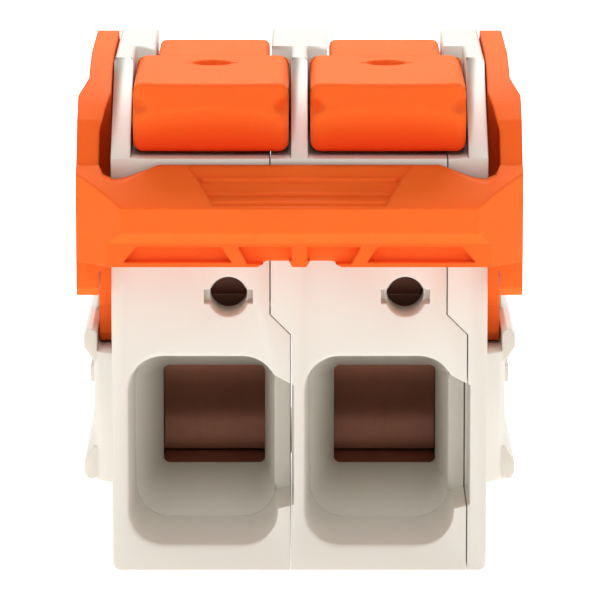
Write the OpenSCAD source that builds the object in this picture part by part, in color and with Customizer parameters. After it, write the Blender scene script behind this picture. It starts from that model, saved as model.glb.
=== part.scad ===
// Two-pole pluggable wire connector with flip levers. Millimetres. X runs across the
// poles, Y from the wire side to the plug side, Z up. The origin is on the bottom face,
// below the middle of the whole part. Depths are counted from the housing's front face.

/* [Poles] */
// Distance between the middles of the two poles
pitch = 10.16; // [9.8:0.02:12.4]
// Plastic that each outer side has beyond half a pitch
outer_skin = 0.63; // [0.5:0.01:1]
// Gap between neighbouring housing pieces
seam_gap = 0.06; // [0.04:0.02:0.16]
// How far the lower seam lies inside the half pitch
seam_low_inset = 0.53; // [0.4:0.01:0.6]
// Height at which the seam steps over
seam_step_z = 15.05; // [14.6:0.05:15.2]

/* [Housing] */
// Height of the housing at its top face
body_h = 28.87; // [28:0.01:35]
// Height lost over the sloping front of the top
slope_rise = 4.77; // [4:0.01:5.2]
// Depth of the sloping front of the top
slope_d = 8; // [6:0.1:9]
// Depth of the tall part of the housing
tall_d = 20.7; // [20.4:0.1:21.2]
// Depth of the low rear part of the housing
low_d = 25.4; // [25:0.1:27]
// Height of the low rear part of the housing
low_h = 17.2; // [16.8:0.1:18]
// Radius of the housing's long edges
edge_r = 0.45; // [0.2:0.05:0.8]
// Thickness of the housing's plain walls
wall = 1; // [0.8:0.05:1.3]
// Width of the rib between two levers
rib_w = 0.96; // [0.8:0.02:1.2]
// Width of the tower between two lever necks
tower_w = 3.32; // [3.1:0.02:3.8]

/* [Wire entry] */
// Distance from the left side of an entry mouth to the half pitch
mouth_left = 0.29; // [0.25:0.01:0.5]
// Distance from the right side of an entry mouth to the lower seam
mouth_right = 0.72; // [0.6:0.02:0.9]
// Bottom of the recess that joins the mouth to the seam
recess_z = 3.9; // [3.6:0.05:4.4]
// Top of that recess
recess_top = 10.9; // [10.4:0.05:11.2]
// Depth of that recess
recess_d = 5.4; // [4.5:0.1:6]
// Bottom of the entry mouth
mouth_z = 1.5; // [1.3:0.05:1.8]
// Height of the entry mouth
mouth_h = 11.1; // [10.8:0.05:11.4]
// Corner radius of the entry mouth
mouth_r = 2; // [1:0.1:2.4]
// Depth of the shallow outer mouth
mouth_d = 4.9; // [4:0.1:5.5]
// How far the outer mouth draws in over its depth
mouth_draft = 0.3; // [0.1:0.05:0.5]
// Width of the square throat
throat_w = 6.03; // [5.4:0.01:6.2]
// Height of the square throat
throat_h = 5.9; // [5.4:0.05:6]
// Bottom of the square throat
throat_z = 3.97; // [3.9:0.01:4.2]
// Depth at which the throat reaches the clamp
throat_d = 11.6; // [11:0.1:12]

/* [Test hole] */
// Diameter of the bore that guides a test probe
probe_d = 2.14; // [2:0.01:2.3]
// Diameter of its wider mouth
probe_mouth_d = 2.38; // [2.3:0.01:2.6]
// Depth of the wider mouth
probe_mouth_depth = 0.45; // [0.3:0.05:0.8]
// Height of the test hole
probe_z = 16.1; // [15.8:0.05:17]
// Offset of the test hole from the middle of its pole
probe_x = 1; // [0:0.05:1.1]
// Length of the notch across the test hole, both sides together
notch_w = 2.8; // [2.6:0.05:3]
// Height of that notch
notch_h = 0.82; // [0.6:0.02:1]
// Depth of that notch
notch_d = 1; // [0.6:0.1:1.4]
// Thickness of the front wall at the test hole
front_wall = 2.9; // [2.4:0.1:3.4]

/* [Levers] */
// Gap on each side of a lever's broad part
lever_gap = 0.145; // [0.1:0.005:0.2]
// Gap on each side of a lever's neck
neck_gap = 0.12; // [0.08:0.01:0.2]
// Height of the housing's top above the lever's top
lever_drop = 0.47; // [0.3:0.01:0.7]
// Height of the lever's nose
nose_h = 4.05; // [3.6:0.05:4.1]
// Radius of the lever's hub
hub_r = 3.5; // [3.2:0.1:3.7]
// Distance from the lever's axle to the back of the tall part
axle_inset = 4.2; // [4:0.05:4.6]
// Radius of the towers' rounded front, around the axle
tower_r = 5.3; // [5:0.05:5.4]
// Radius of the axle
axle_r = 1.3; // [1:0.05:1.5]
// How far the axle goes into the towers
axle_seat = 1.35; // [1:0.05:1.45]
// Running clearance round the axle and round the latch pins
turn_gap = 0.05; // [0.02:0.01:0.09]
// Reach of the cam on the hub, from the axle
cam_r = 4.1; // [3.9:0.05:4.2]
// How far a lever opens
lever_open = 85; // [60:1:90]

/* [Clamp] */
// Thickness of the spring strip
spring_t = 0.4; // [0.3:0.05:0.5]
// Width of the spring strip
spring_w = 6.15; // [5:0.05:6.2]
// Radius of the spring's bend, to the middle of the strip
bend_r = 1.2; // [1:0.05:1.4]
// How far the clamping leg swings
leg_open = 40; // [25:1:42]
// Thickness of the current bar
bar_t = 1; // [0.8:0.1:1.2]
// Width of the current bar
bar_w = 6.1; // [5:0.1:6.2]
// Thickness of the clamp cage
cage_t = 0.35; // [0.3:0.05:0.4]

/* [Latch bail] */
// Gap between the bail's arms and the housing
bail_gap = 0.09; // [0.08:0.01:0.25]
// Outside of the bail's slim rear arms, from the housing's side
arm_out = 1.41; // [1.3:0.01:1.6]
// Outside of the bail's broad front, from the housing's side
front_out = 1.96; // [1.8:0.01:2.2]
// Thickness of the bail's broad front arms
front_arm_t = 1.25; // [1.1:0.01:1.3]
// How far the crossbar stands out in front
bar_front = 3.9; // [3.5:0.1:4.4]
// Gap between the crossbar and the housing's front
bar_gap = 0.35; // [0.3:0.05:0.5]
// Height of the crossbar's bottom edge
bar_z = 18.35; // [18:0.05:18.8]
// Radius of the pins that the bail turns on
pin_r = 1.3; // [1:0.05:1.5]
// Depth at which those pins sit
pin_y = 21.6; // [21.4:0.05:21.8]
// Height at which those pins sit
pin_z = 14; // [13.6:0.1:14.4]

/* [Plug end] */
// Overall depth, from the front face to the end of the shroud
plug_d = 34; // [33:0.5:40]
// Width of the shroud beyond the housing's side
shroud_out = 1.71; // [1.6:0.01:2]
// Bottom of the shroud
shroud_z = 1.6; // [1.4:0.1:2]
// Top of the shroud
shroud_top = 14; // [13.6:0.1:14.2]
// Thickness of the shroud
shroud_t = 1.2; // [1:0.1:1.3]
// Top of the shroud's side wings
wing_top = 9.55; // [9.3:0.05:9.6]
// How far the guide ribs stand out from the shroud
guide_out = 0.6; // [0.4:0.05:0.8]
// Width of the plug chamber round each contact
chamber_w = 7.8; // [7:0.1:8.4]
// Height of that chamber
chamber_h = 6.4; // [6:0.1:6.8]
// Height of the contact's middle
contact_z = 8.1; // [7.9:0.1:8.3]

/* [Hidden] */
$fn = 64;
past = 1;
housing_colour = [0.9, 0.87, 0.82];
lever_colour = [0.96, 0.42, 0.16];
copper_colour = [0.55, 0.32, 0.22];
steel_colour = [0.6, 0.58, 0.56];

pole_x = [-pitch / 2, pitch / 2];
body_half = pitch + outer_skin;
front_h = body_h - slope_rise;
// All parts are drawn from the front face and then moved back by this much
middle_y = (plug_d - bar_front) / 2;

channel_w = pitch - rib_w;
neck_channel_w = pitch - tower_w;
lever_w = channel_w - 2 * lever_gap;
neck_w = neck_channel_w - 2 * neck_gap;
lever_top = body_h - lever_drop;
axle_y = tall_d - axle_inset;
axle_z = lever_top - hub_r;
tower_front = axle_y - tower_r;
// The back of a lever's broad part clears the towers as it swings
swing_r = tower_r + 0.18;
broad_back = axle_y - sqrt(pow(swing_r, 2) - pow(lever_top - axle_z, 2));
neck_back = axle_y + hub_r - 0.1;
neck_low = max(axle_z - 0.5, lever_top - nose_h);

seam_up = neck_channel_w / 2 - seam_gap;
seam_low = pitch / 2 - seam_low_inset;
mouth_x = [mouth_left - pitch / 2, seam_low - mouth_right];
mouth_top = mouth_z + mouth_h;
throat_top = throat_z + throat_h;
room_floor = mouth_top + 1.1;
room_top = axle_z - hub_r + 0.2;

// The spring bends round this line, just behind the throat
bend_y = throat_d + 1.3;
bend_z = room_floor + 0.05 + spring_t / 2 - bend_r;
bar_top = throat_z - 0.07;
leg_lean = 12;
leg_top_angle = 8;
leg_top = [
    bend_y + bend_r * cos(leg_top_angle),
    bend_z + bend_r * sin(leg_top_angle)
];
leg_drop = leg_top[1] - bar_top - 0.12;
leg_end = [leg_top[0] + leg_drop * tan(leg_lean), leg_top[1] - leg_drop];
// The release tongue just meets the cam when the lever is open
tongue_open_angle = 80;
tongue_angle = tongue_open_angle - leg_open;
tongue_w = 4.4;
to_axle = [axle_y - bend_y, axle_z - bend_z];
tongue_reach = cam_r + spring_t / 2 + 0.1;
along = to_axle[0] * cos(tongue_open_angle) + to_axle[1] * sin(tongue_open_angle);
tongue_r = along - sqrt(pow(along, 2) - pow(norm(to_axle), 2) + pow(tongue_reach, 2));
// The tall part is deeper than its own value if the resting tongue needs the room
tongue_back = bend_y + tongue_r * cos(tongue_angle) + spring_t / 2 * sin(tongue_angle);
tall_back = max(tall_d, tongue_back + 0.2 + wall);

arm_in = body_half + bail_gap;
arm_side = body_half + arm_out;
front_side = body_half + front_out;
// Thumb scoop in the crossbar, part of a big cylinder that lies in front of it
scoop_back_half = 6.6;
scoop_front_half = 4.8;
scoop_sag = 0.3;
top_back = [-bar_gap, 23.8];
top_front = [-bar_front, 21.85];
scoop_chord = norm(top_front - top_back);
scoop_r = pow(scoop_chord, 2) / 8 / scoop_sag + scoop_sag / 2;
scoop_up = [top_front[1] - top_back[1], top_back[0] - top_front[0]] / scoop_chord;
scoop_centre = (top_back + top_front) / 2 + (scoop_r - scoop_sag) * scoop_up;
// Underside of the crossbar: its front band ends above the pockets
band_z = 20.4;
pocket_z = 18.62;
pocket_top = 19.53;
shroud_half = body_half + shroud_out;
guide_half = shroud_half + guide_out;
chamber_end = plug_d - 0.8;

function arc(y, z, r, a0, a1, n = 8) =
    [for (i = [0:n]) let (a = a0 + (a1 - a0) * i / n) [y + r * cos(a), z + r * sin(a)]];

// The spring strip's own thickness along a stretch of its bend
function bend_band(a0, a1) = concat(
    arc(bend_y, bend_z, bend_r - spring_t / 2, a0, a1),
    arc(bend_y, bend_z, bend_r + spring_t / 2, a1, a0)
);

module placed() translate([0, -middle_y, 0]) children();

module block(x, y, z)
    translate([x[0], y[0], z[0]])
        cube([x[1] - x[0], y[1] - y[0], z[1] - z[0]]);

// A side view, drawn in depth and height, given its width
module side_view(x, outline)
    translate([x[0], 0, 0]) rotate([90, 0, 90])
        linear_extrude(x[1] - x[0]) polygon(outline);

// A front view, drawn in width and height, given its depth
module front_view(y)
    translate([0, y[1], 0]) rotate([90, 0, 0]) linear_extrude(y[1] - y[0]) children();

module round_rect(x, z, r) {
    translate([x[0] + r, z[0]]) square([x[1] - x[0] - 2 * r, z[1] - z[0]]);
    translate([x[0], z[0] + r]) square([x[1] - x[0], z[1] - z[0] - 2 * r]);
    for (cx = [x[0] + r, x[1] - r], cz = [z[0] + r, z[1] - r])
        translate([cx, cz]) circle(r, $fn = 32);
}

function scoop_height(y) =
    scoop_centre[1] - sqrt(pow(scoop_r, 2) - pow(y - scoop_centre[0], 2));

module rod(x, y, z, r)
    translate([x[0], y, z]) rotate([0, 90, 0]) cylinder(h = x[1] - x[0], r = r);

module mirrored() {
    children();
    mirror([1, 0, 0]) children();
}

// ---- housing ----

module body_block() {
    intersection() {
        front_view([0, low_d])
            round_rect([-body_half, body_half], [0, body_h + past], edge_r);
        side_view([-body_half, body_half], [
            [0, 0], [low_d, 0], [low_d, low_h - 1.5], [low_d - 1.5, low_h],
            [tall_back + 0.4, low_h], [tall_back, low_h + 0.8], [tall_back, body_h],
            [slope_d, body_h], [0, front_h]
        ]);
    }
    for (px = pole_x)
        front_view([low_d - past, chamber_end])
            round_rect([px - chamber_w / 2, px + chamber_w / 2],
                [contact_z - chamber_h / 2, contact_z + chamber_h / 2], 0.6);
}

module wire_entry() {
    inner_x = [mouth_x[0] + mouth_draft, mouth_x[1] - 0.1];
    inner_z = [mouth_z + 2 * mouth_draft, mouth_top - mouth_draft];
    lip = 0.05;
    hull() {
        front_view([-0.01, 0]) round_rect(mouth_x, [mouth_z, mouth_top], mouth_r);
        front_view([mouth_d, mouth_d + 0.01]) round_rect(inner_x, inner_z, mouth_r);
    }
    hull() {
        front_view([mouth_d, mouth_d + 0.01])
            round_rect(inner_x + lip * [1, -1], inner_z + lip * [1, -1], mouth_r - lip);
        front_view([throat_d, throat_d + 0.01])
            round_rect([-throat_w / 2, throat_w / 2], [throat_z, throat_top], 0.35);
    }
    // recess beside the mouth, where the neighbour's wall shows
    front_view([-past, recess_d])
        polygon([
            [mouth_x[1] - 0.2, recess_z - 0.3], [seam_low + 0.2, recess_z],
            [seam_low + 0.2, recess_top], [mouth_x[1] - 0.2, recess_top + 0.6]
        ]);
}

module test_hole() {
    translate([probe_x, -past, probe_z]) rotate([-90, 0, 0]) {
        cylinder(h = front_wall + 2 * past, d = probe_d);
        translate([0, 0, past])
            cylinder(h = probe_mouth_depth, d1 = probe_mouth_d, d2 = probe_d);
    }
    block([probe_x - notch_w / 2, probe_x + notch_w / 2], [-past, notch_d],
        [probe_z - notch_h / 2, probe_z + notch_h / 2]);
}

// Everything that one pole takes out of the housing block
module pole_room() {
    wire_entry();
    test_hole();
    // lever channel over the sloping front
    block([-channel_w / 2, channel_w / 2], [-past, tower_front + 0.01],
        [front_h, body_h + past]);
    // room for the broad part to swing over the round shoulders
    difference() {
        block([-channel_w / 2, channel_w / 2], [tower_front, axle_y],
            [axle_z - 0.6, body_h + past]);
        rod([-pitch, pitch], axle_y, axle_z, tower_r);
    }
    block([-neck_channel_w / 2, neck_channel_w / 2], [tower_front, tall_back + past],
        [room_top - 1.6, body_h + past]);
    // spring room above the wire entry, and clamp room behind it
    block([-neck_channel_w / 2, seam_up + 0.1], [front_wall, tall_back - wall],
        [room_floor, room_top]);
    block([-throat_w / 2 - 0.9, seam_low + 0.1], [throat_d, low_d - wall],
        [bar_top - bar_t - cage_t - 0.5, room_floor + 0.01]);
    // contact chamber and the slot for the mating blade
    block([-3.2, 3.2], [low_d - wall - past, chamber_end - wall],
        [contact_z - 2.3, contact_z + 2.3]);
    block([-2.6, 2.6], [chamber_end - wall - past, chamber_end + past],
        [contact_z - 0.7, contact_z + 0.7]);
    rod([-neck_channel_w / 2 - axle_seat - 0.05, neck_channel_w / 2 + axle_seat + 0.05],
        axle_y, axle_z, axle_r + 0.01);
}

// The piece of the stack between two seams, given the poles on its left and right
module seam_piece(left, right) {
    far = body_half + past;
    low = seam_step_z - (seam_low - seam_up);
    x0_low = left < -pitch ? -far : left + seam_low + seam_gap;
    x0_up = left < -pitch ? -far : left + seam_up + seam_gap;
    x1_low = right > pitch ? far : right + seam_low;
    x1_up = right > pitch ? far : right + seam_up;
    front_view([-past, plug_d])
        polygon([
            [x0_low, -past], [x1_low, -past], [x1_low, low], [x1_up, seam_step_z],
            [x1_up, body_h + past], [x0_up, body_h + past], [x0_up, seam_step_z],
            [x0_low, low]
        ]);
}

module latch_pin(side)
    rod(side > 0 ? [body_half - 0.01, arm_side - 0.1] : [0.1 - arm_side, 0.01 - body_half],
        pin_y, pin_z, pin_r);

module housing(left, right) color(housing_colour) placed() {
    difference() {
        intersection() {
            body_block();
            seam_piece(left, right);
        }
        for (px = pole_x) translate([px, 0, 0]) pole_room();
    }
    if (left < -pitch) latch_pin(-1);
    if (right > pitch) latch_pin(1);
}

module pole_housing_1() housing(-10 * pitch, pole_x[0]);

module pole_housing_2() housing(pole_x[0], pole_x[1]);

module end_plate() housing(pole_x[1], 10 * pitch);

// ---- plug end ----

module guide_rib(z0) {
    front_view([17.8, plug_d])
        polygon([
            [shroud_half - 0.9, z0 - 0.6], [shroud_half - 0.9, z0 + 0.1],
            [shroud_half - 0.2, z0 + 0.1], [shroud_half - 0.2, z0 + 1.2],
            [shroud_half + 0.1, z0 + 1.5], [guide_half - 0.25, z0 + 1.5],
            [guide_half, z0 + 1.1], [guide_half, z0 + 0.4], [shroud_half, z0 - 0.5]
        ]);
}

module plug_shroud() color(housing_colour) placed() {
    difference() {
        front_view([low_d + 0.1, plug_d])
            round_rect([-shroud_half, shroud_half], [shroud_z, shroud_top], 1);
        front_view([low_d - past, plug_d + past])
            round_rect([shroud_t - shroud_half, shroud_half - shroud_t],
                [shroud_z + shroud_t, shroud_top - shroud_t], 0.6);
    }
    mirrored() {
        // side wing that holds the housing, with a slanted front
        translate([0, 0, shroud_z]) linear_extrude(wing_top - shroud_z) polygon([
            [body_half + 0.05, 16.4], [shroud_half - 0.4, 17.4], [shroud_half, 18.1],
            [shroud_half, low_d + 1], [body_half + 0.05, low_d + 1]
        ]);
        guide_rib(wing_top - 0.15);
        translate([0, 0, 2 * shroud_z + 1.6]) mirror([0, 0, 1]) guide_rib(shroud_z + 0.1);
        // small stop on the wing
        block([shroud_half - 0.3, shroud_half + 0.25], [19, 23], [7.4, 8.4]);
    }
}

// ---- latch bail ----

module bail_arm() {
    // slim arm along the top, leg at the back and hook over the shroud
    difference() {
        union() {
            side_view([arm_in, arm_side], [
                [-1.15, 16.8], [-0.65, 16.3], [3, 16.3], [3.5, 16.8], [4.4, 19.3],
                [5.6, 20.4], [17.6, 20.4], [18.8, 19.6], [19.8, 16], [19.8, 10.3],
                [20.4, 9.72], [24.2, 9.72], [24.6, 10.1], [24.6, 15.2], [30.6, 15.2],
                [30.6, 14.3], [31.9, 14.3], [32.2, 15.6], [31.4, 17.4], [24.9, 17.9],
                [22.6, 20.5], [20.6, 28.2], [20, body_h], [10.1, body_h],
                [6.5, body_h - 0.57], [3.06, body_h - 1.82], [1.5, body_h - 2.77],
                [-0.83, 23], [-1.37, 21.9], [-1.15, 20.2]
            ]);
            rod([arm_in, arm_side], pin_y, pin_z, pin_r + 1.4);
        }
        rod([arm_in - past, arm_side + past], pin_y, pin_z, pin_r + turn_gap);
        // the front of the arm stands off from the housing
        front_view([-3, 4.6])
            polygon([
                [arm_in - past, past], [front_side - front_arm_t, past],
                [front_side - front_arm_t, 25.4], [arm_in + 0.25, 26.7], [arm_in, 27.3],
                [arm_in - past, 27.3]
            ]);
    }
    // broad front part of the arm, with a flared step down to the slim arm
    intersection() {
        side_view([front_side - front_arm_t, front_side], [
            [-1.15, 16.8], [-0.65, 16.3], [3, 16.3], [3.5, 16.8], [4.4, 19.3],
            [5.6, 20.4], [5.6, body_h - 0.9], [3.06, body_h - 1.82],
            [1.5, body_h - 2.77], [-0.83, 23], [-1.37, 21.9], [-1.15, 20.2]
        ]);
        linear_extrude(body_h) polygon([
            [0, -2], [front_side, -2], [front_side, 3.6], [arm_side, 5.6], [0, 5.6]
        ]);
    }
}

module crossbar() {
    bevel = front_side - 10.1;
    difference() {
        intersection() {
            side_view([-front_side, front_side], [
                top_back, [-1.6, 23.28], [-2.9, 22.55], top_front,
                [-bar_front, band_z], [0.8 - bar_front, band_z - 0.7],
                [0.8 - bar_front, bar_z], [-bar_gap, bar_z]
            ]);
            linear_extrude(body_h) polygon([
                [-front_side, 0], [-front_side, bevel - bar_front], [-10.1, -bar_front],
                [10.1, -bar_front], [front_side, bevel - bar_front], [front_side, 0]
            ]);
        }
        intersection() {
            rod([-pitch, pitch], scoop_centre[0], scoop_centre[1], scoop_r, $fn = 128);
            linear_extrude(body_h) polygon([
                [-scoop_back_half, 0], [scoop_back_half, 0],
                [scoop_front_half, -bar_front], [-scoop_front_half, -bar_front]
            ]);
        }
        // the top edge dips towards the arms
        mirrored() front_view([-2.4, past])
            polygon([[7.9, 25], [7.9, 23.85], [9.9, 23.1], [10.6, 23], [11.2, 23.25],
                [11.5, 23.9], [11.5, 25]]);
        // pockets under the front edge, the inner ones open below
        mirrored() {
            front_view([-4.5, -2.5]) polygon([
                [3.85, pocket_z], [10, pocket_z], [9.25, pocket_top], [4.45, pocket_top]
            ]);
            front_view([-4.5, -2.5]) polygon([
                [0.45, pocket_z - 0.1], [2.95, pocket_z - 0.1], [3.5, pocket_top],
                [0.45, pocket_top]
            ]);
        }
        front_view([-4.5, past]) polygon([
            [-2.6, bar_z - 0.1], [2.6, bar_z - 0.1], [1.85, pocket_z], [-1.85, pocket_z]
        ]);
    }
    // grip ribs in the scoop
    for (rib = [[-1.25, 5.6], [-2.35, 5.6], [-3.25, 5]])
        rod([-rib[1], rib[1]], rib[0], scoop_height(rib[0]), 0.18);
    // middle tab below the bar
    front_view([0.8 - bar_front, -bar_gap])
        polygon([[-0.6, pocket_z + 0.1], [-0.4, bar_z], [0.4, bar_z],
            [0.6, pocket_z + 0.1]]);
}

module latch_bail() color(lever_colour) placed() {
    crossbar();
    mirrored() {
        bail_arm();
        // web from the crossbar's end to the foot of the arm
        front_view([-1.15, -bar_gap])
            polygon([[10.9, 23], [front_side - front_arm_t + 0.1, 23.4],
                [front_side - 0.1, 22], [front_side - 0.1, 17], [11.62, 17],
                [11.62, bar_z - 0.8], [10.82, bar_z]]);
    }
}

// ---- levers ----

// Direction from the axle to the back of the broad part at a height
function swing_angle(z) = 180 - asin((z - axle_z) / swing_r);

module lever(px) color(lever_colour) placed() translate([px, 0, 0])
    difference() {
        union() {
            // broad part with a finger scoop under the nose
            intersection() {
                side_view([-lever_w / 2, lever_w / 2], concat(
                    arc(axle_y, axle_z, swing_r, swing_angle(lever_top - nose_h),
                        swing_angle(lever_top), 12),
                    arc(0.5, lever_top - 0.7, 0.7, 90, 180, 6),
                    [[-0.2, lever_top - 1.5], [0.15, lever_top - 2],
                     [0.75, lever_top - 3.1], [1.1, lever_top - nose_h + 0.2],
                     [1.35, lever_top - nose_h]]
                ));
                linear_extrude(body_h + past)
                    round_rect([-lever_w / 2, lever_w / 2], [-0.3, broad_back], 0.7);
            }
            side_view([-neck_w / 2, neck_w / 2], concat(
                [[axle_y, neck_low], [axle_y - swing_r - 0.5, neck_low],
                 [axle_y - swing_r - 0.5, lever_top]],
                arc(neck_back - 0.6, lever_top - 0.6, 0.6, 90, 0, 6),
                [[axle_y + hub_r, axle_z]]
            ));
            rod([-neck_w / 2, neck_w / 2], axle_y, axle_z, hub_r);
            // cam that presses the spring's tongue
            side_view([-neck_w / 2, neck_w / 2], concat(
                [[axle_y, axle_z]],
                arc(axle_y, axle_z, cam_r, lever_open - 117, lever_open - 99, 4),
                arc(axle_y, axle_z, hub_r - 0.1, lever_open - 75, lever_open - 75, 1)
            ));
        }
        rod([-pitch, pitch], axle_y, axle_z, axle_r + turn_gap);
        // hollow underside
        block([2 - lever_w / 2, lever_w / 2 - 2], [3, axle_y - swing_r - 0.9],
            [lever_top - nose_h - past, lever_top - 1.4]);
    }

module lever_1() lever(pole_x[0]);

module lever_2() lever(pole_x[1]);

module lever_axle(px) color(steel_colour) placed() translate([px, 0, 0])
    rod([-neck_channel_w / 2 - axle_seat, neck_channel_w / 2 + axle_seat],
        axle_y, axle_z, axle_r);

module lever_axle_1() lever_axle(pole_x[0]);

module lever_axle_2() lever_axle(pole_x[1]);

// ---- clamp ----

module clamp_spring(px) color(copper_colour) placed() translate([px, 0, 0])
    difference() {
        side_view([-spring_w / 2, spring_w / 2], concat(
            bend_band(90, 52),
            [[5.8, room_floor + 0.05 + spring_t], [5.4, room_floor + 1.6],
             [5, room_floor + 1.6], [5, room_floor + 0.05]]
        ));
        // window that the release tongue is bent out of
        block([-tongue_w / 2 - 0.15, tongue_w / 2 + 0.15],
            [throat_d - 0.2, bend_y + 2 * bend_r], [room_floor - past, room_floor + 2]);
    }

module clamp_spring_1() clamp_spring(pole_x[0]);

module clamp_spring_2() clamp_spring(pole_x[1]);

module clamp_leg(px) color(copper_colour) placed() translate([px, 0, 0]) {
    across = spring_t / 2 * [cos(leg_lean), sin(leg_lean)];
    side_view([-spring_w / 2, spring_w / 2],
        [leg_top - across, leg_top + across, leg_end + across, leg_end - across]);
    // release tongue, bent up towards the cam
    tip = [cos(tongue_angle), sin(tongue_angle)];
    half = spring_t / 2 * [-tip[1], tip[0]];
    start = [bend_y, bend_z] + (bend_r - spring_t / 2) * tip;
    end = [bend_y, bend_z] + tongue_r * tip;
    side_view([-tongue_w / 2, tongue_w / 2], bend_band(leg_top_angle - 4, tongue_angle));
    side_view([-tongue_w / 2, tongue_w / 2],
        [start + half, start - half, end - half, end + half]);
}

module clamp_leg_1() clamp_leg(pole_x[0]);

module clamp_leg_2() clamp_leg(pole_x[1]);

module clamp_cage(px) color(steel_colour) placed() translate([px, 0, 0])
    difference() {
        block([-throat_w / 2 - 0.15 - cage_t, throat_w / 2 + 0.15 + cage_t],
            [throat_d + 0.3, 19], [bar_top - bar_t - cage_t - 0.1, throat_top + 1]);
        block([-throat_w / 2 - 0.15, throat_w / 2 + 0.15],
            [throat_d, 20], [bar_top - bar_t - 0.1, throat_top + 2]);
    }

module clamp_cage_1() clamp_cage(pole_x[0]);

module clamp_cage_2() clamp_cage(pole_x[1]);

// ---- current path ----

module current_bar(px) color(copper_colour) placed() translate([px, 0, 0])
    side_view([-bar_w / 2, bar_w / 2], [
        [throat_d + 0.1, bar_top], [throat_d + 0.1, bar_top - bar_t],
        [23, bar_top - bar_t], [23, contact_z + 1.9], [23 - bar_t, contact_z + 1.9],
        [23 - bar_t, bar_top + 0.6], [22.4 - bar_t, bar_top]
    ]);

module current_bar_1() current_bar(pole_x[0]);

module current_bar_2() current_bar(pole_x[1]);

// Two contact arms that close on a flat blade
module contact_socket(px) color(copper_colour) placed() translate([px, 0, 0]) {
    block([-2.4, 2.4], [23, 23.9], [contact_z - 1.7, contact_z + 1.7]);
    for (s = [-1, 1], x = [-2.4, 0.2])
        side_view([x, x + 2.2], [
            [23.5, contact_z + s * 1.7], [23.5, contact_z + s * 1.1],
            [29.6, contact_z + s * 0.45], [31.2, contact_z + s * 0.8],
            [31.2, contact_z + s * 1.2], [29.6, contact_z + s * 0.95]
        ]);
}

module contact_socket_1() contact_socket(pole_x[0]);

module contact_socket_2() contact_socket(pole_x[1]);

// Steel sleeve that presses the contact arms together
module over_spring(px) color(steel_colour) placed() translate([px, 0, 0])
    difference() {
        block([-2.95, 2.95], [24.6, 30.4], [contact_z - 2.1, contact_z + 2.1]);
        block([-2.6, 2.6], [24, 31], [contact_z - 1.8, contact_z + 1.8]);
        block([-0.3, 0.3], [24, 31], [contact_z + 1, contact_z + 3]);
    }

module over_spring_1() over_spring(pole_x[0]);

module over_spring_2() over_spring(pole_x[1]);

pole_housing_1();
pole_housing_2();
end_plate();
plug_shroud();
latch_bail();
lever_1();
lever_2();
lever_axle_1();
lever_axle_2();
clamp_spring_1();
clamp_spring_2();
clamp_leg_1();
clamp_leg_2();
clamp_cage_1();
clamp_cage_2();
current_bar_1();
current_bar_2();
contact_socket_1();
contact_socket_2();
over_spring_1();
over_spring_2();
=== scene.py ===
import math
import bmesh
import bpy
import numpy as np
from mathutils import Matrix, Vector


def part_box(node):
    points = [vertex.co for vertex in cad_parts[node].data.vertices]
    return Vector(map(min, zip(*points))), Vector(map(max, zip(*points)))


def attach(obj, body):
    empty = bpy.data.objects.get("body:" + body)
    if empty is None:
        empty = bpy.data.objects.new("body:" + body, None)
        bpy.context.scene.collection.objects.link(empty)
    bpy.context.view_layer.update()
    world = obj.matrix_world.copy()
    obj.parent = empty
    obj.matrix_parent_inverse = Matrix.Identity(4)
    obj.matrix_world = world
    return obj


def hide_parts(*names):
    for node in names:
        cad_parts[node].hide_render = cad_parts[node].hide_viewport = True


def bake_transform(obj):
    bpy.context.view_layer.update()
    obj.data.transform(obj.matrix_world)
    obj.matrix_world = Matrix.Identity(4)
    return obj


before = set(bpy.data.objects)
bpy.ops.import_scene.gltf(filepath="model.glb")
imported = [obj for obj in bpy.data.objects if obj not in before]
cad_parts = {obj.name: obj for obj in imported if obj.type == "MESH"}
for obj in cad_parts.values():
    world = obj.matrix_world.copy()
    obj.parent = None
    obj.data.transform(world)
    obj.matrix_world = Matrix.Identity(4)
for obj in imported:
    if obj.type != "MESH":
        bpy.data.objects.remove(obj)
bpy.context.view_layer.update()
mm = 0.001

# Sizes below are drawing millimetres, with depths counted from the housing's front face.
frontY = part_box("pole_housing_1")[0][1]
pitch = 10.16  # distance between the middles of the two poles


# Drawing millimetres to scene metres: a scale, then a shift back by the front face's place.
def toScene(points):
    moved = np.asarray(points, float) * mm
    moved[..., 1] += frontY
    return moved


# Scene metres of a mesh's points back to drawing millimetres.
def toDrawing(mesh):
    co = np.empty(len(mesh.vertices) * 3)
    mesh.vertices.foreach_get("co", co)
    return co.reshape(-1, 3) / mm - np.array([0, frontY / mm, 0])


def linkObject(name, data):
    made = bpy.data.objects.new(name, data)
    bpy.context.collection.objects.link(made)
    return made


def makeObject(name, points, faces, material):
    mesh = bpy.data.meshes.new(name)
    mesh.from_pydata(toScene(points).tolist(), [], faces)
    mesh.update()
    mesh.polygons.foreach_set("use_smooth", np.ones(len(mesh.polygons), bool))
    mesh.materials.append(material)
    return linkObject(name, mesh)


# Quads of a grid of points, row by row. The columns close on themselves.
def tubeFaces(rows, cols):
    r = np.arange(rows - 1)[:, None]
    c = np.arange(cols)[None, :]
    a = r * cols + c
    b = r * cols + (c + 1) % cols
    return np.stack([a, b, b + cols, a + cols], axis=-1).reshape(-1, 4)


# 0 below low, 1 above high, and an even S-curve between them.
def smoothStep(x, low, high):
    t = np.clip((x - low) / (high - low), 0, 1)
    return t * t * (3 - 2 * t)


def nodeMaterial(name):
    made = bpy.data.materials.new(name)
    made.use_nodes = True
    tree = made.node_tree
    return made, tree, tree.nodes["Principled BSDF"]


def addNode(tree, kind, **values):
    node = tree.nodes.new(kind)
    for key, value in values.items():
        if key in node.inputs:
            node.inputs[key].default_value = value
        else:
            setattr(node, key, value)
    return node


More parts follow.
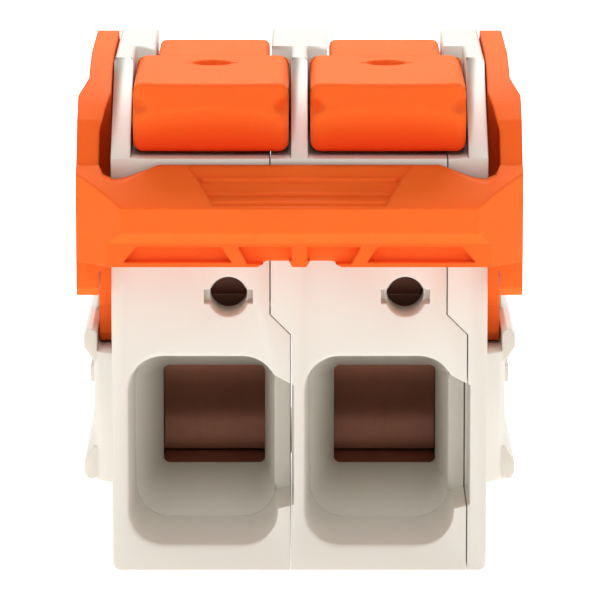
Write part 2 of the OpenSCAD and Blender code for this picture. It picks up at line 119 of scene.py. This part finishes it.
# A colour that drifts between two tones as a factor goes from 0 to 1.
def twoTone(tree, factor, first, second):
    tone = addNode(tree, "ShaderNodeMix", data_type="RGBA")
    for socket, colour in ((tone.inputs[6], first), (tone.inputs[7], second)):
        if isinstance(colour, tuple):
            socket.default_value = (*colour, 1)
        else:
            tree.links.new(colour, socket)
    tree.links.new(factor, tone.inputs[0])
    return tone.outputs[2]


# A roughness that a pattern moves from a little glossier to a little duller.
def patternRoughness(tree, pattern, shader, least, most):
    gloss = addNode(tree, "ShaderNodeMapRange")
    gloss.inputs["To Min"].default_value = least
    gloss.inputs["To Max"].default_value = most
    tree.links.new(pattern, gloss.inputs["Value"])
    tree.links.new(gloss.outputs["Result"], shader.inputs["Roughness"])


# Moulded plastic: a fine spark-eroded grain in the bump and the gloss, a slow drift of tone over
# the piece, painted shade (darker, redder) where the mesh's painted-shade attribute asks for it, and
# softened edges.
def mouldedPlastic(name, look):
    made, tree, shader = nodeMaterial(name)
    link = tree.links.new
    place = addNode(tree, "ShaderNodeTexCoord")
    grain = addNode(tree, "ShaderNodeTexNoise", Scale=look["grainScale"], Detail=4.0, Roughness=0.6)
    cloud = addNode(tree, "ShaderNodeTexNoise", Scale=look["cloudScale"], Detail=2.0, Roughness=0.5)
    link(place.outputs["Object"], grain.inputs["Vector"])
    link(place.outputs["Object"], cloud.inputs["Vector"])
    tone = twoTone(tree, cloud.outputs["Fac"], look["colour"], look["colourAway"])
    # Painted shade: the base colour darkens and reddens where the mesh's painted-shade attribute is high.
    shade = addNode(tree, "ShaderNodeAttribute", attribute_name="paintedScoopShade")
    link(twoTone(tree, shade.outputs["Fac"], tone, look["paintedShadeColour"]), shader.inputs["Base Color"])
    patternRoughness(tree, grain.outputs["Fac"], shader, look["roughness"] - 0.04, look["roughness"] + 0.05)
    edge = addNode(tree, "ShaderNodeBevel", Radius=look["edge"])
    edge.samples = 6
    bump = addNode(tree, "ShaderNodeBump", Strength=look["bump"], Distance=0.00002)
    link(grain.outputs["Fac"], bump.inputs["Height"])
    link(edge.outputs["Normal"], bump.inputs["Normal"])
    link(bump.outputs["Normal"], shader.inputs["Normal"])
    shader.inputs["Specular IOR Level"].default_value = look["specular"]
    shader.inputs["Subsurface Weight"].default_value = look["scatter"]
    shader.inputs["Subsurface Radius"].default_value = look["scatterColour"]
    shader.inputs["Subsurface Scale"].default_value = look["scatterReach"]
    return made


# Stamped strip: fine rolling lines, stretched along the strip, and darker patches at random:
# tarnish on the copper and steel, painted shade on the spring.
def stampedMetal(name, look):
    made, tree, shader = nodeMaterial(name)
    link = tree.links.new
    place = addNode(tree, "ShaderNodeTexCoord")
    stretch = addNode(tree, "ShaderNodeMapping", Scale=look["lineStretch"])
    link(place.outputs["Object"], stretch.inputs["Vector"])
    lines = addNode(tree, "ShaderNodeTexNoise", Scale=9000.0, Detail=3.0, Roughness=0.55)
    link(stretch.outputs["Vector"], lines.inputs["Vector"])
    tarnishAndShade = addNode(tree, "ShaderNodeTexNoise", Scale=420.0, Detail=4.0, Roughness=0.6)
    link(place.outputs["Object"], tarnishAndShade.inputs["Vector"])
    link(twoTone(tree, tarnishAndShade.outputs["Fac"], look["colour"], look["tarnishAndShade"]), shader.inputs["Base Color"])
    patternRoughness(tree, lines.outputs["Fac"], shader, look["roughness"] - 0.08, look["roughness"] + 0.1)
    bump = addNode(tree, "ShaderNodeBump", Strength=0.25, Distance=0.00001)
    link(lines.outputs["Fac"], bump.inputs["Height"])
    link(bump.outputs["Normal"], shader.inputs["Normal"])
    shader.inputs["Metallic"].default_value = look["metallic"]
    return made


palePlastic = mouldedPlastic("palePlastic", {
    "colour": (0.725, 0.69, 0.62), "colourAway": (0.70, 0.665, 0.59), "paintedShadeColour": (0.7, 0.66, 0.58),
    "roughness": 0.5, "specular": 0.35, "bump": 0.22, "edge": 0.0001,
    "grainScale": 9000.0, "cloudScale": 90.0,
    "scatter": 0.12, "scatterColour": (1.0, 0.75, 0.5), "scatterReach": 0.0006,
})
orangePlastic = mouldedPlastic("orangePlastic", {
    # The third colour is painted shade: a darker, redder orange for the recess of the lever's finger scoop.
    "colour": (0.92, 0.15, 0.024), "colourAway": (0.9, 0.137, 0.02), "paintedShadeColour": (0.85, 0.032, 0.003),
    "roughness": 0.5, "specular": 0.03, "bump": 0.18, "edge": 0.00025,
    "grainScale": 9000.0, "cloudScale": 90.0,
    "scatter": 0.35, "scatterColour": (1.0, 0.1, 0.02), "scatterReach": 0.0015,
})
# The spring is silver steel: both of its brown tones are painted shade of the dark wire entry and painted
# orange light cast by the lever.
springMetalPaintedShade = stampedMetal("springMetalPaintedShade", {
    "colour": (0.40, 0.175, 0.105), "tarnishAndShade": (0.27, 0.105, 0.065),
    "roughness": 0.5, "metallic": 0.55, "lineStretch": (1, 0.05, 0.05),
})
copperMetal = stampedMetal("copperMetal", {
    "colour": (0.42, 0.17, 0.10), "tarnishAndShade": (0.28, 0.10, 0.06),
    "roughness": 0.42, "metallic": 0.7, "lineStretch": (0.05, 1, 0.05),
})
steelMetal = stampedMetal("steelMetal", {
    "colour": (0.56, 0.54, 0.51), "tarnishAndShade": (0.46, 0.44, 0.42),
    "roughness": 0.36, "metallic": 1.0, "lineStretch": (0.05, 1, 0.05),
})
print("materials made")


# Both ends of every edge in drawing millimetres, and which edges turn by more than least degrees.
def sharpEdges(mesh, least):
    work = bmesh.new()
    work.from_mesh(mesh)
    turn = np.array([edge.calc_face_angle(0) for edge in work.edges])
    work.free()
    pairs = np.empty(len(mesh.edges) * 2, int)
    mesh.edges.foreach_get("vertices", pairs)
    return toDrawing(mesh)[pairs.reshape(-1, 2)], turn > math.radians(least)


# A merged copy of a CAD node. Its sharp edges are rounded by a bevel of one radius, or of the
# radius that a rule reads from each edge's ends; a radius of 0 keeps them crisp. If held, every
# radius stays within the shortest edge's room.
def mouldedCopy(name, node, body, material, rounding, segments=3, held=True):
    work = bmesh.new()
    work.from_mesh(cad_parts[node].data)
    bmesh.ops.remove_doubles(work, verts=work.verts, dist=0.000002)
    bmesh.ops.dissolve_limit(work, angle_limit=math.radians(1), verts=work.verts, edges=work.edges)
    mesh = bpy.data.meshes.new(name)
    work.to_mesh(mesh)
    work.free()
    mesh.materials.clear()
    mesh.materials.append(material)
    mesh.polygons.foreach_set("use_smooth", np.ones(len(mesh.polygons), bool))
    made = linkObject(name, mesh)
    if rounding:
        ends, sharp = sharpEdges(mesh, 28)
        radius = sharp * (rounding(ends) if callable(rounding) else rounding)
        weight = mesh.attributes.new("bevel_weight_edge", "FLOAT", "EDGE")
        weight.data.foreach_set("value", (radius / radius.max()).astype(np.float32))
        bevel = made.modifiers.new("roundEdges", "BEVEL")
        bevel.width = radius.max() * mm
        bevel.segments = segments
        bevel.limit_method = "WEIGHT"
        bevel.harden_normals = True
        bevel.use_clamp_overlap = held
    else:
        crisp = mesh.attributes.new("sharp_edge", "BOOLEAN", "EDGE")
        crisp.data.foreach_set("value", sharpEdges(mesh, 12)[1])
    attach(made, body)
    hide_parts(node)
    return made


housingEdge = {
    "plain": 0.045, "top": 0.28, "topAbove": 24.3,
    "rimAtSeam": 0.04, "rimMore": 0.2, "rimHeights": (1.4, 12.7), "rimHalf": 4.85, "fade": (1.8, 3.4),
}


# Radius of each housing edge: wider on the long edges of the top's walls and towers, and on the
# front rims of the wire entries, where it fades evenly towards the seam on their right.
def housingRounding(ends):
    low, high = ends.min(axis=1), ends.max(axis=1)
    along = high - low
    top = (low[:, 2] > housingEdge["topAbove"]) & (along[:, 0] < 0.01) & (along[:, 1] > 0.5)
    middle = ends.mean(axis=1)
    side = middle[:, 0] + np.where(middle[:, 0] < 0, pitch / 2, -pitch / 2)
    bottom, roof = housingEdge["rimHeights"]
    rim = (np.abs(ends[..., 1]).max(axis=1) < 0.01) & (low[:, 2] > bottom) & (high[:, 2] < roof)
    rim &= np.abs(side) < housingEdge["rimHalf"]
    fadeStart, fadeEnd = housingEdge["fade"]
    full = np.clip((fadeEnd - side) / (fadeEnd - fadeStart), 0, 1)
    rimRadius = housingEdge["rimAtSeam"] + housingEdge["rimMore"] * full
    return np.where(top, housingEdge["top"], np.where(rim, rimRadius, housingEdge["plain"]))


for piece in ("pole_housing_1", "pole_housing_2", "end_plate"):
    made = mouldedCopy(piece + "_moulding", piece, "housing", palePlastic, housingRounding, 4, held=False)
shroud = mouldedCopy("plug_shroud_moulding", "plug_shroud", "housing", palePlastic, 0.12)
bail = mouldedCopy("latch_bail_moulding", "latch_bail", "latch_bail", orangePlastic, 0)
print("mouldings rounded")


leverShape = {
    "halfWidth": 4.455, "top": 28.4, "bottom": 24.35, "back": 12.28, "swing": 5.48,
    "front": -0.35, "frontLean": 0.5, "frontBow": 0.35, "topRound": 0.32, "sideRound": 0.6,
    "lipBottom": 27.05, "scoopArch": 0.9, "scoopDepth": 1.25, "bottomRound": 0.4,
    "dentAt": (0.5, 27.1), "dentSize": (0.75, 0.48), "dentDepth": 0.55,
    "neckHalf": 3.3, "hubRadius": 3.5, "axleAt": (16.5, 24.9),
    "neckBack": 19.9, "neckRound": 0.6, "neckEdge": 0.3,
    "markAt": 9.0, "markRadius": 1.2, "markDepth": 0.35, "armLength": 1.48, "armHalf": 0.13,
}


# Unit directions from a corner to its neighbours, and how far along them its round reaches.
def cornerReach(corners, i, radius):
    corner = corners[i % len(corners)]
    back, ahead = corners[(i - 1) % len(corners)] - corner, corners[(i + 1) % len(corners)] - corner
    back, ahead = back / np.linalg.norm(back), ahead / np.linalg.norm(ahead)
    half = math.acos(np.clip(back @ ahead, -1, 1)) / 2
    return back, ahead, half, radius / math.tan(half)


# Closed loop through the corners, each rounded by a circle of its radius. From one arc the loop
# runs straight to the next, with counts[i] points on arc i and on the straight after it.
def roundedLoop(corners, radii, counts):
    corners = np.asarray(corners, float)
    loop = []
    for i, (corner, radius, count) in enumerate(zip(corners, radii, counts)):
        back, ahead, half, reach = cornerReach(corners, i, radius)
        middle = corner + (back + ahead) / np.linalg.norm(back + ahead) * radius / math.sin(half)
        start, end = corner + back * reach - middle, corner + ahead * reach - middle
        turn = math.atan2(start[0] * end[1] - start[1] * end[0], start @ end)
        angle = np.linspace(0, turn, count[0])[:, None]
        loop.append(middle + np.cos(angle) * start + np.sin(angle) * np.array([-start[1], start[0]]))
        nextBack, _, _, nextReach = cornerReach(corners, i + 1, radii[(i + 1) % len(radii)])
        goal = corners[(i + 1) % len(corners)] + nextBack * nextReach
        along = np.linspace(0, 1, count[1] + 2)[1:-1, None]
        loop.append(loop[-1][-1] * (1 - along) + goal * along)
    return np.concatenate(loop)


# Unit normals of closed loops in their own plane, to the left of the way they run.
def inward(loops):
    ahead = np.roll(loops, -1, axis=-2) - np.roll(loops, 1, axis=-2)
    ahead /= np.linalg.norm(ahead, axis=-1, keepdims=True)
    return np.stack([-ahead[..., 1], ahead[..., 0]], axis=-1)


# Places across a width of twice half: even steps, and closer ones in the rounded edges.
def spread(half, edge, step):
    bend = half - edge * (1 - np.sin(np.linspace(0, math.pi / 2, 9)))
    flat = np.linspace(-bend[0], bend[0], max(3, int(2 * bend[0] / step)))
    return np.concatenate([-bend[::-1], flat[1:-1], bend])


# How far a rounded edge has drawn in: a quarter circle over the last bit of the width.
def roundIn(across, half, edge):
    t = np.clip((np.abs(across) - (half - edge)) / edge, 0, 1)
    return edge * (1 - np.sqrt(1 - t * t))


# Solid between side-view loops, one at each place across. Each end is closed by rings that shrink
# towards the loop's middle line, so that the shift can also shape the end faces.
def lofted(name, loops, across, material, shift):
    endInset = 2.2
    low, high = loops[..., 0].min() + endInset, loops[..., 0].max() - endInset
    middle = np.full(loops.shape[:2], loops[..., 1].mean())
    core = np.stack([np.clip(loops[..., 0], low, high), middle], axis=-1)
    shrink = np.array([0.9, 0.6, 0.42, 0.3, 0.22, 0.15, 0.1, 0.06, 0.03, 0.01])[:, None, None]
    start = loops[0] * (1 - shrink) + core[0] * shrink
    end = (loops[-1] * (1 - shrink) + core[-1] * shrink)[::-1]
    rings = np.concatenate([start, loops, end])
    places = np.concatenate([np.full(len(shrink), across[0]), across, np.full(len(shrink), across[-1])])
    rows, cols = rings.shape[:2]
    points = shift(np.concatenate([np.repeat(places[:, None, None], cols, axis=1), rings], axis=-1))
    faces = tubeFaces(rows, cols)[:, ::-1].tolist()
    faces.append(list(range(cols)))
    faces.append([rows * cols - 1 - k for k in range(cols)])
    return makeObject(name, points.reshape(-1, 3), faces, material)


# Side-view loop of the broad part at a place across. Towards the sides the front bows back and the
# finger scoop starts lower and gets shallower, each by a power of the share of the half width.
def noseLoop(x, shape):
    t = abs(x) / shape["halfWidth"]
    front = shape["front"] + shape["frontBow"] * t ** 2.5
    lip = shape["lipBottom"] - shape["scoopArch"] * t ** 2.4
    deep = shape["scoopDepth"] * (1 - 0.3 * t ** 4)
    low = shape["bottom"]
    corners = [
        (shape["back"], low), (shape["back"], shape["top"]), (front + shape["frontLean"], shape["top"]),
        (front, lip), (front + 0.78 * deep, 0.45 * lip + 0.55 * low), (front + deep, low),
    ]
    radii = (0.35, 0.06, shape["topRound"], 0.35 + 0.5 * t ** 2, 1.2, shape["bottomRound"])
    counts = ((5, 14), (3, 130), (8, 5), (10, 4), (8, 3), (8, 24))
    return roundedLoop(corners, radii, counts)


# Presses a round mark with two arms into the top and a lens-shaped dent into each side: both are a
# depth that fades out at their edge.
def pressMarks(points, shape, poleX):
    x, y, z = points[..., 0], points[..., 1], points[..., 2]
    offMark = y - shape["markAt"]
    disc = 1 - smoothStep(np.hypot(x, offMark), shape["markRadius"] - 0.09, shape["markRadius"])
    arm = ((1 - smoothStep(np.abs(x), shape["armLength"] - 0.06, shape["armLength"]))
           * (1 - smoothStep(np.abs(offMark), shape["armHalf"] - 0.05, shape["armHalf"] + 0.02)))
    sunk = np.where(z > shape["top"] - 0.05, np.maximum(disc, arm) * shape["markDepth"], 0)
    (dentY, dentZ), (dentLong, dentHigh) = shape["dentAt"], shape["dentSize"]
    lens = ((y - dentY) / dentLong) ** 2 + ((z - dentZ) / dentHigh) ** 2
    side = smoothStep(np.abs(x), shape["halfWidth"] - 1.1, shape["halfWidth"] - 0.3)
    dent = shape["dentDepth"] * np.clip(1 - lens, 0, 1) ** 0.6 * side
    return np.stack([x - np.sign(x) * dent + poleX, y, z - sunk], axis=-1)


# Broad part of a lever: its loops across the width, drawn in at both ends by a quarter circle, with
# the back moved onto the circle that clears the towers as the lever swings.
def leverNose(name, poleX, shape):
    half = shape["halfWidth"]
    wide = spread(half, shape["sideRound"], 0.16)
    fine = np.linspace(-1.6, 1.6, 65)  # closer steps where the mark is
    across = np.concatenate([wide[wide < -1.62], fine, wide[wide > 1.62]])
    loops = np.array([noseLoop(x, shape) for x in across])
    loops = loops + inward(loops) * roundIn(across, half, shape["sideRound"])[:, None, None]
    axleY, axleZ = shape["axleAt"]
    rise = np.clip(loops[..., 1] - axleZ, -1, shape["top"] - axleZ)
    hollow = np.sqrt(shape["swing"] ** 2 - rise ** 2) - (axleY - shape["back"])
    backward = smoothStep(loops[..., 0], 9.5, shape["back"] - 0.7)
    loops[..., 0] -= backward * (hollow + roundIn(across, half, 0.8)[:, None])
    made = lofted(name, loops, across, orangePlastic, lambda points: pressMarks(points, shape, poleX))
    x, y, z = toDrawing(made.data).T
    # Painted shade: a darker, redder tone down the finger scoop under the lip, near the front, where shade
    # falls.
    lip = shape["lipBottom"] - shape["scoopArch"] * (np.abs(x - poleX) / half) ** 2.4
    deep = (1 - smoothStep(z, shape["bottom"] - 0.6, lip + 0.15)) * (1 - smoothStep(y, 2, 4))
    tone = made.data.attributes.new("paintedScoopShade", "FLOAT", "POINT")
    tone.data.foreach_set("value", deep.astype(np.float32))
    return made


# Neck and hub of a lever: one side-view loop, round below the axle and square behind the top,
# carried across the neck's width. Its ends are drawn in by a quarter circle, its back by a wider one.
def leverNeck(name, poleX, shape):
    axleY, axleZ = shape["axleAt"]
    around = np.radians(np.linspace(-180, -8, 60))
    hub = shape["axleAt"] + shape["hubRadius"] * np.stack([np.cos(around), np.sin(around)], axis=-1)
    turn = np.radians(np.linspace(0, 90, 12))
    rear = np.stack([shape["neckBack"] - shape["neckRound"] * (1 - np.cos(turn)),
                     shape["top"] - shape["neckRound"] * (1 - np.sin(turn))], axis=-1)
    join = shape["back"] - 0.15  # the neck's top runs just into the broad part, then dives
    topLine = np.stack([np.linspace(shape["neckBack"] - 1, join, 40), np.full(40, shape["top"])], axis=-1)
    inside = [[join - 0.3, shape["top"] - 0.4], [join - 1.6, axleZ + 1], [join - 1.6, axleZ]]
    loop = np.concatenate([hub, rear, topLine, inside])
    half = shape["neckHalf"]
    across = spread(half, shape["neckEdge"], 0.4)
    loops = np.repeat(loop[None], len(across), axis=0)
    loops = loops + inward(loops) * roundIn(across, half, shape["neckEdge"])[:, None, None]
    pull = roundIn(across, half, 0.9)[:, None] / (shape["neckBack"] - axleY)
    loops[..., 0] -= np.clip(loops[..., 0] - axleY, 0, None) * pull
    return lofted(name, loops, across, orangePlastic, lambda points: points + np.array([poleX, 0, 0]))


for pole in (1, 2):
    poleX = (pole - 1.5) * pitch
    nose = leverNose(f"lever_{pole}_nose", poleX, leverShape)
    neck = leverNeck(f"lever_{pole}_neck", poleX, leverShape)
    for part in (nose, neck):
        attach(part, f"lever_{pole}")
        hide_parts(f"lever_{pole}")
print("levers made")


springShape = {
    "bendAt": (12.9, 12.75), "bendRadius": 1.2, "thickness": 0.4, "halfWidth": 3.075, "edge": 0.05,
    "footFront": 5.2, "footTop": 15.3, "heelRadius": 0.4, "windowFrom": 11.4, "windowHalf": 2.35,
    "legStart": 8, "legEnd": (15.98, 4.02), "bow": 1.0, "bowEnds": 0.76, "curl": 0.45,
    "tongueStart": 4, "tongueLeaves": 28, "tongueAngle": 40, "tongueTip": 8.43, "tongueHalf": 2.2,
}


# Bent strip with eased edges: points along a side-view path, spread across the width and pushed
# half the thickness to either side of it. keep marks which cells of that grid are metal, and every
# edge between metal and no metal gets a wall.
def bentStrip(name, path, across, keep, shape):
    ahead = np.gradient(path, axis=0)
    ahead /= np.linalg.norm(ahead, axis=1, keepdims=True)
    off = np.stack([-ahead[:, 1], ahead[:, 0]], axis=1) * shape["thickness"] / 2
    rows, cols = len(path), len(across)
    sheets = []
    for side in (1, -1):
        places = np.broadcast_to(across[None, :, None], (rows, cols, 1))
        profile = np.broadcast_to((path + side * off)[:, None], (rows, cols, 2))
        sheets.append(np.concatenate([places, profile], axis=-1).reshape(-1, 3))
    points = np.concatenate(sheets)
    cell = np.arange(rows * cols).reshape(rows, cols)
    corner = np.stack([cell[:-1, :-1], cell[:-1, 1:], cell[1:, 1:], cell[1:, :-1]], axis=-1)
    faces = [corner[keep], corner[keep][:, ::-1] + rows * cols]
    framed = np.pad(keep, 1)
    for shiftRow, shiftCol, first, second in ((-1, 0, 0, 1), (1, 0, 2, 3), (0, -1, 3, 0), (0, 1, 1, 2)):
        beside = framed[1 + shiftRow:rows + shiftRow, 1 + shiftCol:cols + shiftCol]
        edge = corner[keep & ~beside]
        a, b = edge[:, first], edge[:, second]
        faces.append(np.stack([b, a, a + rows * cols, b + rows * cols], axis=-1))
    faces = np.concatenate(faces)
    used, place = np.unique(faces, return_inverse=True)
    made = makeObject(name, points[used], place.reshape(faces.shape).tolist(), springMetalPaintedShade)
    bevel = made.modifiers.new("roundEdges", "BEVEL")
    bevel.width = shape["edge"] * mm
    bevel.segments = 2
    bevel.limit_method = "ANGLE"
    bevel.angle_limit = math.radians(50)
    bevel.harden_normals = True
    return made


# Points on the spring's bend at some angles, or at another distance from its middle.
def onBend(shape, degrees, radius=None):
    angle = np.radians(np.atleast_1d(degrees))
    around = np.stack([np.cos(angle), np.sin(angle)], axis=1)
    return np.array(shape["bendAt"]) + around * (shape["bendRadius"] if radius is None else radius)


# Even points on a straight line, without its first point.
def between(first, last, count):
    t = np.linspace(0, 1, count + 1)[1:, None]
    return np.asarray(first) * (1 - t) + np.asarray(last) * t


# Side view of the clamping leg: straight down to its end, plus a bow towards the wire entry that
# swells and fades as a squared sine, and a curl forward at the end as an S-curve.
def bowedLeg(shape):
    s = np.linspace(0, 1, 34)[1:]
    top, end = onBend(shape, shape["legStart"])[0], np.array(shape["legEnd"])
    swell = np.sin(np.clip(s / shape["bowEnds"], 0, 1) * math.pi) ** 2 * shape["bow"]
    curl = smoothStep(s, shape["bowEnds"], 1.0) * shape["curl"]
    straight = top * (1 - s)[:, None] + end * s[:, None]
    return straight - np.stack([swell + curl, 0 * s], axis=1)


# Foot, floor strip, bend and clamping leg of one spring, with the window that its release tongue is
# cut from.
def springStrip(name, poleX, shape):
    top = onBend(shape, 90)[0]
    heelRadius = shape["heelRadius"]
    turn = np.radians(np.linspace(180, 270, 7))[:, None]
    heelMiddle = np.array([shape["footFront"], top[1]]) + heelRadius
    heel = heelMiddle + heelRadius * np.concatenate([np.cos(turn), np.sin(turn)], axis=1)
    windowStart = (shape["windowFrom"], top[1])
    path = np.concatenate([
        [[shape["footFront"], shape["footTop"]]], heel,
        between(heel[-1], windowStart, 10), between(windowStart, top, 3),
        onBend(shape, np.linspace(90, shape["legStart"], 17)[1:]), bowedLeg(shape),
    ])
    half, window = shape["halfWidth"], shape["windowHalf"]
    across = np.concatenate([np.linspace(-half, -window, 4), np.linspace(-window, window, 7)[1:-1],
                             np.linspace(window, half, 4)])
    middle = (path[1:] + path[:-1]) / 2
    legTop = onBend(shape, shape["legStart"])[0]
    rowInside = (middle[:, 0] > shape["windowFrom"]) & (middle[:, 1] > legTop[1])
    colInside = np.abs(across[1:] + across[:-1]) / 2 < window
    keep = ~(rowInside[:, None] & colInside[None, :])
    return bentStrip(name, path, across + poleX, keep, shape)


# Release tongue: it leaves the bend's curve, turns outwards on a quadratic curve and runs straight
# to the cam.
def springTongue(name, poleX, shape):
    start = onBend(shape, np.linspace(shape["tongueStart"], shape["tongueLeaves"], 6))
    knee = onBend(shape, shape["tongueAngle"], shape["bendRadius"] + 0.25)[0]
    out = onBend(shape, shape["tongueAngle"], shape["bendRadius"] + 1.3)[0]
    tip = onBend(shape, shape["tongueAngle"], shape["tongueTip"])[0]
    t = np.linspace(0, 1, 9)[1:, None]
    curve = start[-1] * (1 - t) ** 2 + 2 * knee * t * (1 - t) + out * t ** 2
    path = np.concatenate([start, curve, between(out, tip, 10)])
    across = np.linspace(-shape["tongueHalf"], shape["tongueHalf"], 7) + poleX
    return bentStrip(name, path, across, np.ones((len(path) - 1, len(across) - 1), bool), shape)


for pole in (1, 2):
    poleX = (pole - 1.5) * pitch
    leg = f"clamp_leg_{pole}"
    strip = springStrip(f"spring_{pole}_strip", poleX, springShape)
    bendEnds = [(poleX, *onBend(springShape, angle)[0]) for angle in (90, springShape["legStart"])]
    first, last = toScene(bendEnds)
    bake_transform(strip)
    tongue = springTongue(f"spring_{pole}_tongue", poleX, springShape)
    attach(tongue, leg)
    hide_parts(f"clamp_spring_{pole}", leg)
    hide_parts(leg)
print("springs made")


# Stamped and turned parts inside each pole: their metal, its slot and their edge radius.
formedParts = {
    "lever_axle": (steelMetal, "steel", 0.12),
    "clamp_cage": (steelMetal, "steel", 0.05),
    "over_spring": (steelMetal, "steel", 0.05),
    "current_bar": (copperMetal, "contact_copper", 0.1),
    "contact_socket": (copperMetal, "contact_copper", 0.05),
}
for kind, (material, slotName, radius) in formedParts.items():
    for pole in (1, 2):
        made = mouldedCopy(f"{kind}_{pole}_formed", f"{kind}_{pole}", "housing", material, radius)
print("metal parts formed")


studio = {
    "floorSize": 6, "floorTone": 0.97, "floorGlow": 0.7, "ambient": 0.55,
    "lightSize": (0.5, 0.3), "lightAim": (0, 0, 0.01),
    "lights": {"topLight": ((0, 0.34, 0.42), 3.2), "frontLight": ((0, -0.42, 0.4), 0.45)},
    "aim": (0.00003, frontY, 0.0159), "reach": 0.3184, "pitchDown": 10.25, "lens": 333, "sensor": 36,
}

floorMaterial, floorTree, floorShader = nodeMaterial("floorPaint")
floorShader.inputs["Base Color"].default_value = (studio["floorTone"],) * 3 + (1,)
floorShader.inputs["Emission Color"].default_value = (1, 1, 1, 1)
floorShader.inputs["Emission Strength"].default_value = studio["floorGlow"]
floorShader.inputs["Roughness"].default_value = 0.8
half = studio["floorSize"] / 2
floorMesh = bpy.data.meshes.new("floor")
floorCorners = [(-half, -half, 0), (half, -half, 0), (half, half, 0), (-half, half, 0)]
floorMesh.from_pydata(floorCorners, [], [(0, 1, 2, 3)])
floorMesh.materials.append(floorMaterial)
linkObject("floor", floorMesh)

world = bpy.data.worlds.new("studio")
bpy.context.scene.world = world
world.use_nodes = True
world.node_tree.nodes["Background"].inputs["Color"].default_value = (1, 1, 1, 1)
world.node_tree.nodes["Background"].inputs["Strength"].default_value = studio["ambient"]
bpy.context.scene.view_settings.view_transform = "Standard"


# Turns a lamp or camera to look from its place at a target.
def lookAt(made, place, target):
    made.location = place
    made.rotation_euler = (Vector(target) - Vector(place)).to_track_quat("-Z", "Y").to_euler()


for name, (place, power) in studio["lights"].items():
    lamp = bpy.data.lights.new(name, "AREA")
    lamp.shape = "RECTANGLE"
    lamp.size, lamp.size_y = studio["lightSize"]
    lamp.energy = power
    lookAt(linkObject(name, lamp), place, studio["lightAim"])

lens = bpy.data.cameras.new("camera")
lens.sensor_width = studio["sensor"]
lens.lens = studio["lens"]
lens.clip_start = 0.01
camera = linkObject("camera", lens)
pitchDown = math.radians(studio["pitchDown"])
aim = Vector(studio["aim"])
back = Vector((0, -math.cos(pitchDown), math.sin(pitchDown))) * studio["reach"]
lookAt(camera, aim + back, aim)
bpy.context.scene.camera = camera
print("studio ready")
